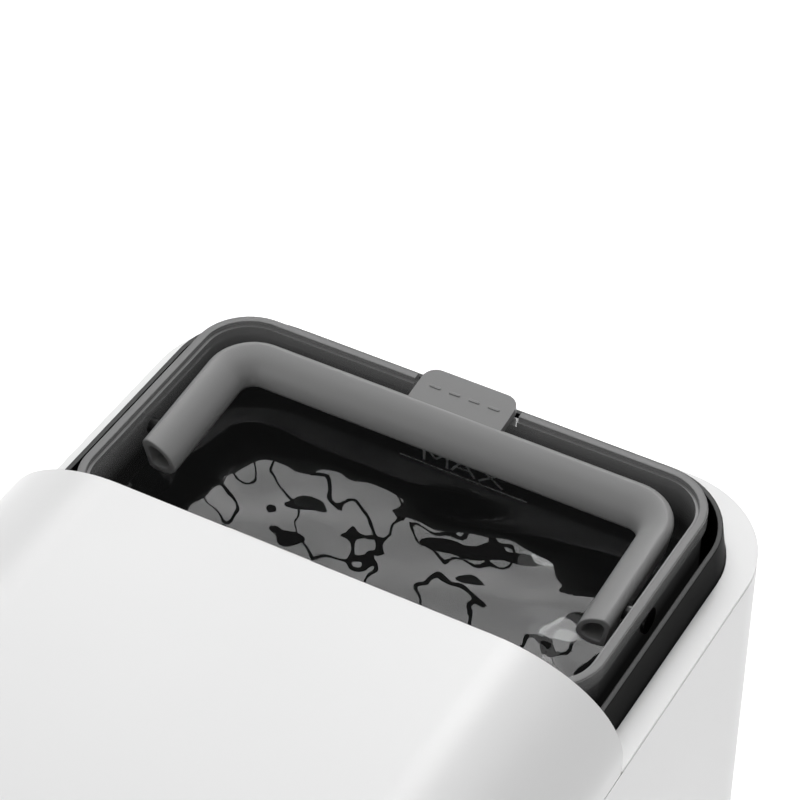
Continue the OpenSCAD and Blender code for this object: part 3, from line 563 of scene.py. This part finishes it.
def tank_shell():
    """The smoked tank, its wall swept round the plan, with its rim, groove and bead."""
    z0 = TANK_LOW.z
    floor = z0 + TANK_FLOOR
    t, c = TANK_INSET, CAVITY_INSET
    profile = [(t + 4, z0), (t + 2, z0 + 0.2), (t + 0.6, z0 + 0.8), (t, z0 + 2.2), (t, SKIRT_Z - 0.6),
               (0.15, SKIRT_Z), (0, SKIRT_Z + 0.3), (0, RIM_Z - 0.7), (0.12, RIM_Z - 0.25), (0.4, RIM_Z),
               (RIM_W - 0.2, RIM_Z), (RIM_W, RIM_Z - 0.2), (RIM_W + 0.05, STEP_Z + 0.1),
               (RIM_W + 0.1, STEP_Z), (RIM_W + 0.95, STEP_Z), (RIM_W + 1.0, STEP_Z - 0.15),
               (RIM_W + 1.02, RIM_Z - 9), (c, RIM_Z - 20), (c, floor + 2.5), (c + 0.7, floor + 0.8),
               (c + 2.2, floor + 0.1), (c + 4, floor)]
    rings = [[(x, y, min(z, level)) for (x, y), level in tank_ring_points(inset)]
             for inset, z in profile]
    solid = Solid().loft(rings, cap_start=True, cap_end=True)
    obj = piece("tank_shell", "tank", solid.verts, solid.faces,
                [LOOKS["smoked_plastic"], RIM_PAINTED_LIGHT, STEP_PAINTED_HIGHLIGHT], sharp=50)
    for face in obj.data.polygons:
        level = face.center.z / MM
        # the rim's top faces take painted light
        if level > RIM_Z - 0.3:
            face.material_index = 1
        # the inner step's flat faces take the painted highlight
        elif abs(level - STEP_Z) < 0.06 and face.normal.z > 0.9:
            face.material_index = 2
    return obj


def float_ears():
    """The two lugs inside the tank that hold the float's pin."""
    low, high = span("float_pin")
    solid = Solid()
    y, z = (low.y + high.y) / 2, (low.z + high.z) / 2
    for x in (low.x, high.x - 3):
        outline = [(y - 5, z - 3.5), *arc((y, z), 3.5, -90, 90, 10), (y - 5, z + 3.5)]
        solid.prism(outline, x, x + 3, lambda u, v, w: (w, u, v))
    piece("float_ears", "tank", solid.verts, solid.faces, [LOOKS["smoked_plastic"]],
          bevel=0.3)


def fill_mark():
    """The level line and its word, raised on the tank's rear wall."""
    wall_y = TANK_HIGH.y - CAVITY_INSET
    line_half_w, line_w, stroke_w = 22, 0.55, 0.8
    cap, pitch, gap = 9.5, 9.5, 2.2
    half = cap * 0.42
    root, rise = -0.05, 0.12

    def place(u, v, w):
        return (u, wall_y - w, MARK_Z + v)

    letters = {
        "M": [[(-1, 0), (-1, 1)], [(-1, 1), (0, 0.35)], [(0, 0.35), (1, 1)], [(1, 1), (1, 0)]],
        "A": [[(-1, 0), (0, 1)], [(0, 1), (1, 0)], [(-0.55, 0.36), (0.55, 0.36)]],
        "X": [[(-1, 0), (1, 1)], [(-1, 1), (1, 0)]],
    }
    solid = Solid()
    solid.ribbon([(-line_half_w, 0), (line_half_w, 0)], line_w, root, rise, place)
    for index, letter in enumerate("MAX"):
        centre = (index - 1) * pitch
        for start, end in letters[letter]:
            line = [(centre + p[0] * half, gap + p[1] * cap) for p in (start, end)]
            solid.ribbon(line, stroke_w, root, rise, place)
    piece("fill_mark", "tank", solid.verts, solid.faces, [MARK_GREY], sharp=50)


def wave_height(x, y):
    """The water's ripples, in millimetres: swells and noise, calm beside the tank's rear wall."""
    swell = 0.20 * math.sin(0.17 * x + 0.07 * y + 0.6) + 0.20 * math.sin(-0.10 * x + 0.22 * y + 2.1)
    rough = 0.95 * noise.noise(Vector((x * 0.050, y * 0.070, 3.7)))
    fine = 0.15 * noise.noise(Vector((x * 0.13, y * 0.17, 9.2)))
    calm = min(max((TANK_HIGH.y - 17 - y) / 12, 0.0), 1.0)
    return (swell + rough + fine) * (0.04 + 0.96 * calm)


def tank_water():
    """The water in the tank: a rippled surface over a body that fills the cavity."""
    bite = 0.3
    inset = CAVITY_INSET - bite
    half_x = TANK_HIGH.x - inset
    y0, y1 = TANK_LOW.y + inset, TANK_HIGH.y - inset
    r = TANK_R - inset
    nx, ny = 132, 74
    middle_y = (y0 + y1) / 2
    half_y = (y1 - y0) / 2

    def corner_limit(y):
        """Half the cavity's width at y, inside its round corners."""
        past = abs(y - middle_y) - (half_y - r)
        return half_x if past <= 0 else half_x - r + math.sqrt(max(r * r - past * past, 0.0))

    verts, faces = [], []
    for j in range(ny + 1):
        y = y0 + (y1 - y0) * j / ny
        limit = corner_limit(y)
        for i in range(nx + 1):
            x = limit * (2 * i / nx - 1)
            edge = min(limit - abs(x), half_y - abs(y - middle_y))
            creep = 0.5 * math.exp(-edge / 0.9)
            verts.append((x, y, WATER_Z + wave_height(x, y) + creep))
    row = nx + 1
    for j in range(ny):
        for i in range(nx):
            a = j * row + i
            faces.append((a, a + 1, a + row + 1, a + row))
    rim = ([i for i in range(nx + 1)] + [j * row + nx for j in range(1, ny + 1)]
           + [ny * row + i for i in range(nx - 1, -1, -1)] + [j * row for j in range(ny - 1, 0, -1)])
    floor_z = TANK_LOW.z + TANK_FLOOR - bite
    base = len(verts)
    for index in rim:
        x, y, _ = verts[index]
        verts.append((x, y, floor_z + 3))
    count = len(rim)
    for k in range(count):
        n = (k + 1) % count
        faces.append((rim[k], base + k, base + n, rim[n]))
    low = len(verts)
    for index in rim:
        x, y, _ = verts[index]
        verts.append((x * 0.955, middle_y + (y - middle_y) * 0.925, floor_z))
    for k in range(count):
        n = (k + 1) % count
        faces.append((base + k, low + k, low + n, base + n))
    faces.append(tuple(low + k for k in reversed(range(count))))
    piece("tank_water", "tank", verts, faces, [WATER], sharp=60)


# ---- handle ----


def grip_outline(scale=1.0):
    """The handle's section, leaning inwards: u runs out from its inner side, v up."""
    points = []
    for i in range(13):
        t = math.radians(13 + 77 * i / 12)
        points.append((GRIP_W - 10.9 * math.sin(t), -3 + 9.35 * math.cos(t)))
    for i in range(1, 9):
        s = math.radians(140 * i / 8)
        points.append((5.5 - 5.2 * math.cos(s), -3 - 3.2 * math.sin(s)))
    points += [(9.48 + 1.6 * i / 3, -5.06 + 8.2 * i / 3) for i in (1, 2)]
    points += arc((8.55, 3.6), 2.6, -10, 72, 5)
    middle = (5.9, -0.1)
    return [(middle[0] + (u - middle[0]) * scale, middle[1] + (v - middle[1]) * scale) for u, v in points]


def grip_stations():
    """Places along the handle: (point on its inner line, outward direction), left end to right end."""
    bar_y = GRIP_OUT_Y - GRIP_W
    cx, cy = GRIP_IN_X - GRIP_IN_R, bar_y - GRIP_IN_R
    arm = [GRIP_END_Y + (cy - GRIP_END_Y) * i / 6 for i in range(7)]
    stations = [((-GRIP_IN_X, y), (-1, 0)) for y in arm]
    for i in range(1, 13):
        a = math.radians(180 - 90 * i / 12)
        d = (math.cos(a), math.sin(a))
        stations.append(((-cx + GRIP_IN_R * d[0], cy + GRIP_IN_R * d[1]), d))
    mirrored = [((-x, y), (-dx, dy)) for (x, y), (dx, dy) in reversed(stations)]
    bar = [((x, bar_y), (0, 1)) for x in (-40, -20, 0, 20, 40)]
    return stations + bar + mirrored


def grip_place(point):
    """From the handle's own frame, on its pivot axis, to its place on the tank."""
    return tuple(PIVOT + Matrix.Rotation(GRIP_TILT, 3, "X") @ Vector(point))


def bail_handle():
    """The hollow bail."""
    outline, bore = grip_outline(), grip_outline(BORE_SCALE)

    def ring(station, section, shift=0.0):
        (x, y), (dx, dy) = station
        return [grip_place((x + dx * u, y + dy * u + shift, v)) for u, v in section]

    stations = grip_stations()
    left, right = stations[0], stations[-1]
    rings = [ring(left, bore, BORE_DEPTH), ring(left, bore)]
    rings += [ring(s, outline) for s in stations]
    rings += [ring(right, bore), ring(right, bore, BORE_DEPTH)]
    solid = Solid().loft(rings, cap_start=True, cap_end=True)
    obj = piece("bail_handle", "handle", solid.verts, solid.faces, [LOOKS["grey_grip"]],
                sharp=38, bevel=0.45, segments=3)
    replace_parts(obj, "tank_handle")


def finger_tab():
    """The tab at the middle of the bar, with four short grip ribs."""
    w, r, root = TAB_HALF_W, 4.6, 1.2
    y0, y1 = GRIP_OUT_Y - 3.4, TAB_END_Y
    outline = ([(-w - root, y0)] + arc((w + root, y0 + root), root, 270, 180, 6)
               + arc((w - r, y1 - r), r, 0, 90, 8) + arc((r - w, y1 - r), r, 90, 180, 8)
               + arc((-w - root, y0 + root), root, 0, -90, 6)[:-1])
    top, rise = 5.75, 0.05

    def place(u, v, w):
        return grip_place((u, v, w + rise * (v - y0)))

    solid = Solid().prism(outline, top - 2.7, top, place)
    # the tab and its ribs take the darker grey: painted shade
    piece("finger_tab", "handle", solid.verts, solid.faces, [TAB_PAINTED_SHADE], bevel=0.55, segments=3)
    ribs = Solid()
    for x in (-9.9, -3.3, 3.3, 9.9):
        bar = arc((x + 1.4, y0 + 8.7), 0.5, -90, 90, 6) + arc((x - 1.4, y0 + 8.7), 0.5, 90, 270, 6)
        ribs.prism(bar, top - 0.2, top + 0.3, place)
    piece("tab_ribs", "handle", ribs.verts, ribs.faces, [TAB_PAINTED_SHADE], bevel=0.2)


# ---- front ----


def louver():
    """The outlet's flap: five overlapping slats on one plate, and its two pivot pins."""
    low, high = span("outlet_louver")
    half_w = high.x - 2.6
    slats = 5
    top, pitch = high.z, (high.z - low.z) / slats
    face, back = low.y, low.y + 2.2
    step, lip = 0.75, 0.5
    outline = [(back, top)]
    for k in range(slats):
        edge = top - pitch * k
        outline += [(face + step, edge), (face, edge - pitch + lip), (face + 0.2, edge - pitch)]
    outline.append((back, low.z))
    solid = Solid().prism(outline, -half_w, half_w, lambda u, v, w: (w, u, v))
    pivot = (face + 2.3, low.z + 4.8)
    solid.prism(arc(pivot, 2.0, 0, 345, 23), -half_w, half_w, lambda u, v, w: (w, u, v))
    solid.prism(arc(pivot, 1.6, 0, 345, 23), low.x, high.x, lambda u, v, w: (w, u, v))
    return piece("louver_slats", "louver", solid.verts, solid.faces, [LOOKS["louver_white"]],
                 bevel=0.15)


def front_place(low, high):
    """Puts a small drawing on the front of a node, at its middle."""
    x, z = (low.x + high.x) / 2, (low.z + high.z) / 2

    def place(u, v, w):
        return (x + u, low.y - w, z + v)
    return place


def icons():
    """Generic signs on the four buttons."""
    names = ["power_button", "fan_button", "humidity_button", "timer_button"]
    keys = ["power_key", "fan_key", "humidity_key", "timer_key"]
    for node, body in zip(names, keys):
        low, high = span(node)
        place = front_place(low, high)
        solid = Solid()
        if node == "power_button":
            solid.ribbon(arc((0, 0), 2.7, 125, 415, 24), 0.6, SIGN_ROOT, SIGN_H, place)
            solid.ribbon([(0, 0.6), (0, 3.6)], 0.6, SIGN_ROOT, SIGN_H, place)
        elif node == "fan_button":
            for k in range(3):
                a = 120 * k + 90
                c = (1.7 * math.cos(math.radians(a)), 1.7 * math.sin(math.radians(a)))
                solid.ribbon(arc(c, 1.25, a - 120, a + 130, 16), 0.5, SIGN_ROOT, SIGN_H, place)
            solid.ribbon(arc((0, 0), 0.35, 0, 360, 12), 0.5, SIGN_ROOT, SIGN_H, place)
        elif node == "humidity_button":
            drop = [(0, 3.5)] + arc((0, -0.9), 2.3, 25, -205, 24) + [(0, 3.5)]
            solid.ribbon(drop, 0.6, SIGN_ROOT, SIGN_H, place)
            solid.ribbon(arc((0, -0.9), 1.15, 200, 265, 8), 0.5, SIGN_ROOT, SIGN_H, place)
        else:
            solid.ribbon(arc((0, 0), 3.0, 0, 360, 32), 0.6, SIGN_ROOT, SIGN_H, place)
            solid.ribbon([(0, 1.9), (0, 0), (1.4, -0.6)], 0.55, SIGN_ROOT, SIGN_H, place)
        piece(node + "_sign", body, solid.verts, solid.faces, [ICON_DARK])


def display_digits():
    """A relative humidity of 50 in seven-segment digits, and a per cent sign."""
    place = front_place(LENS_LOW, LENS_HIGH)
    w, h, gap = 2.1, 3.9, 0.35
    lines = {"a": [(-w, h), (w, h)], "b": [(w, h), (w, 0)], "c": [(w, 0), (w, -h)], "d": [(-w, -h), (w, -h)],
             "e": [(-w, 0), (-w, -h)], "f": [(-w, h), (-w, 0)], "g": [(-w, 0), (w, 0)]}
    digits = {"5": "afgcd", "0": "abcdef"}
    solid = Solid()
    for centre, digit in ((-7.4, "5"), (-0.4, "0")):
        for key in digits[digit]:
            (u0, v0), (u1, v1) = lines[key]
            size = math.hypot(u1 - u0, v1 - v0)
            tu, tv = (u1 - u0) / size * gap, (v1 - v0) / size * gap
            ends = [(centre + u0 + tu, v0 + tv), (centre + u1 - tu, v1 - tv)]
            solid.ribbon(ends, 0.85, SIGN_ROOT, SIGN_H, place)
    solid.ribbon([(6.2, -3.4), (10.0, 3.4)], 0.6, SIGN_ROOT, SIGN_H, place)
    for c in ((6.4, 2.4), (9.8, -2.4)):
        solid.ribbon(arc(c, 1.0, 0, 360, 16), 0.5, SIGN_ROOT, SIGN_H, place)
    piece("display_digits", "housing", solid.verts, solid.faces, [DIGIT_GLOW])


# ---- stage, in metres ----

FLOOR_REACH = 12.0
GLOW_FROM, GLOW_TO = 1.2, 3.0
GLOW_NEAR, GLOW_FAR = 0.43, 0.64
HORIZON, ZENITH = 0.82, 0.11
LAMP_TARGET = Vector((0, 0.03, 0.40))
REAR_LAMPS = 4
REAR_LAMP_PITCH = 0.36
REAR_LAMP_GAP = 0.045
CAMERA_PLACE = (0.31973, -0.46152, 1.02793)
CAMERA_TURN = [math.radians(angle) for angle in (29.25, 41.67, 0.25)]  # azimuth, elevation, roll
LENS_MM = 139.2


def pale_floor():
    """A wide floor. Its glow rises outwards, where the lamps don't reach, so that it meets the world's
    pale horizon without a line."""
    mesh = bpy.data.meshes.new("floor")
    reach = FLOOR_REACH
    mesh.from_pydata([(-reach, -reach, 0), (reach, -reach, 0), (reach, reach, 0), (-reach, reach, 0)], [],
                     [(0, 1, 2, 3)])
    floor = bpy.data.objects.new("floor", mesh)
    SCENE.collection.objects.link(floor)
    made, tree, shader, xyz = material("pale_floor")
    cloud = textured(tree, xyz, "ShaderNodeTexNoise", 3.0, Detail=3.0)
    mottle(tree, shader, cloud, (0.94, 0.94, 0.94), 0.01)
    shader.inputs["Roughness"].default_value = 0.9
    shader.inputs["Specular IOR Level"].default_value = 0.1
    shader.inputs["Emission Color"].default_value = (1, 1, 1, 1)
    away = tree.nodes.new("ShaderNodeVectorMath")
    away.operation = "LENGTH"
    tree.links.new(xyz, away.inputs[0])
    glow = smooth_range(tree, away.outputs["Value"], GLOW_FROM, GLOW_TO, GLOW_NEAR, GLOW_FAR)
    tree.links.new(glow, shader.inputs["Emission Strength"])
    mesh.materials.append(made)


def smooth_range(tree, value, from_low, from_high, to_low, to_high):
    """A value eased from one range into another, and held at its ends."""
    ranged = tree.nodes.new("ShaderNodeMapRange")
    ranged.interpolation_type = "SMOOTHSTEP"
    ranged.inputs["From Min"].default_value = from_low
    ranged.inputs["From Max"].default_value = from_high
    ranged.inputs["To Min"].default_value = to_low
    ranged.inputs["To Max"].default_value = to_high
    tree.links.new(value, ranged.inputs["Value"])
    return ranged.outputs["Result"]


def lamps():
    """Four lamps in a row behind, whose gaps draw dark lines in the water, and four softer ones."""
    for k in range(REAR_LAMPS):
        softbox("rear_light_%d" % k, azimuth=209.25, elevation=41.7, distance=2.2,
                size=(REAR_LAMP_PITCH - REAR_LAMP_GAP, 0.9), radiance=5.2,
                shift=REAR_LAMP_PITCH * (k - (REAR_LAMPS - 1) / 2))
    softbox("high_light", azimuth=172, elevation=56, distance=2.4, size=(1.6, 1.2), radiance=1.5)
    softbox("edge_light", azimuth=191, elevation=52, distance=2.4, size=(0.33, 0.6), radiance=8.8)
    softbox("top_light", azimuth=0, elevation=86, distance=2.4, size=(2.0, 2.0), radiance=1.1)
    softbox("front_light", azimuth=-35, elevation=22, distance=2.6, size=(1.8, 1.0), radiance=2.1)


def camera():
    """The photograph's view."""
    az, el, roll = CAMERA_TURN
    back = Vector((math.sin(az) * math.cos(el), -math.cos(az) * math.cos(el), math.sin(el)))
    right = Vector((math.cos(az), math.sin(az), 0))
    up = back.cross(right)
    side = right * math.cos(roll) + up * math.sin(roll)
    top = up * math.cos(roll) - right * math.sin(roll)
    data = bpy.data.cameras.new("camera")
    data.lens = LENS_MM
    data.sensor_width = 36
    view = bpy.data.objects.new("camera", data)
    view.matrix_world = Matrix.Translation(CAMERA_PLACE) @ Matrix((side, top, back)).transposed().to_4x4()
    SCENE.collection.objects.link(view)
    SCENE.camera = view


def studio_world():
    """Even white fill from all round, pale at the horizon and dimmer overhead."""
    world = bpy.data.worlds.new("studio")
    world.use_nodes = True
    tree = world.node_tree
    direction = tree.nodes.new("ShaderNodeSeparateXYZ")
    tree.links.new(tree.nodes.new("ShaderNodeTexCoord").outputs["Generated"], direction.inputs["Vector"])
    fade = smooth_range(tree, direction.outputs["Z"], 0.05, 0.60, HORIZON, ZENITH)
    background = tree.nodes["Background"]
    background.inputs["Color"].default_value = (1, 1, 1, 1)
    tree.links.new(fade, background.inputs["Strength"])
    SCENE.world = world


def softbox(name, azimuth, elevation, distance, size, radiance, shift=0.0):
    """A rectangular lamp that faces the top of the object, shifted along its width. Azimuth 0 is in
    front, and grows to the right."""
    a, e = math.radians(azimuth), math.radians(elevation)
    away = Vector((math.sin(a) * math.cos(e), -math.cos(a) * math.cos(e), math.sin(e)))
    data = bpy.data.lights.new(name, "AREA")
    data.shape = "RECTANGLE"
    data.size, data.size_y = size
    data.energy = radiance * math.pi * size[0] * size[1]
    lamp = bpy.data.objects.new(name, data)
    turn = away.to_track_quat("Z", "Y")
    lamp.location = LAMP_TARGET + away * distance + turn @ Vector((shift, 0, 0))
    lamp.rotation_euler = turn.to_euler()
    lamp.visible_camera = False
    SCENE.collection.objects.link(lamp)


dress_frame()
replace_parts(top_cover(), "top_cover")
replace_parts(tank_well(), "tank_well")
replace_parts(tank_shell(), "water_tank")
float_ears()
fill_mark()
tank_water()
bail_handle()
finger_tab()
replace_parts(louver(), "outlet_louver")
icons()
display_digits()
pale_floor()
studio_world()
lamps()
SCENE.view_settings.view_transform = "Standard"
camera()
